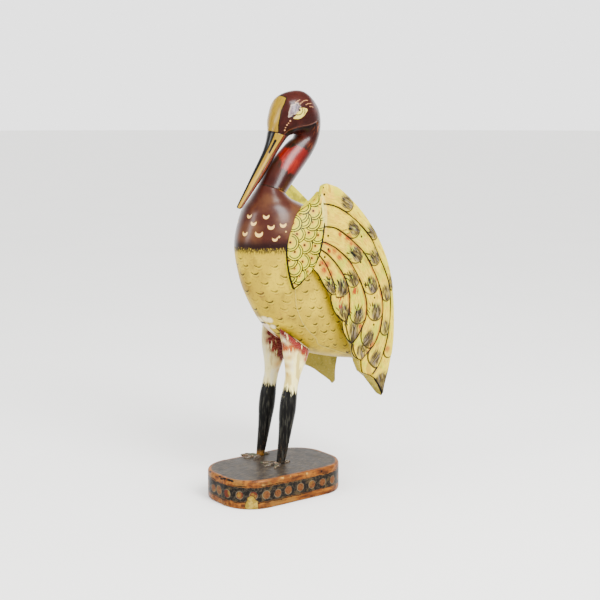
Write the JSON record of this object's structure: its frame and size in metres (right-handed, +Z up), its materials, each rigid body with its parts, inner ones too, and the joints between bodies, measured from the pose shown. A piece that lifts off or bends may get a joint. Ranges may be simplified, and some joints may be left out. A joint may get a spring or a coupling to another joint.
{
  "type": "wooden bird sculpture",
  "caption": "Painted carved-wood wading bird with a bowed neck, a long bill and folded wings, standing on an oblong plinth.",
  "frame": {"origin": "middle of the plinth's underside, on the surface it stands on", "axes": "+Z up, -Y the way the bird faces, +X towards the bird's left side"},
  "size_m": [0.1506, 0.2919, 0.5765],
  "materials": {
    "plinth_paint": "painted wood, worn, satin",
    "body_paint": "painted and varnished wood, satin",
    "head_paint": "painted and varnished wood, glossy",
    "wing_paint": "painted and varnished wood, satin",
    "leg_paint": "painted wood, satin"
  },
  "bodies": {
    "root": {"plinth": "plinth_paint", "body": "body_paint", "head_and_neck": "head_paint", "left_wing": "wing_paint", "right_wing": "wing_paint", "left_leg": "leg_paint", "right_leg": "leg_paint"}
  },
  "joints": []
}
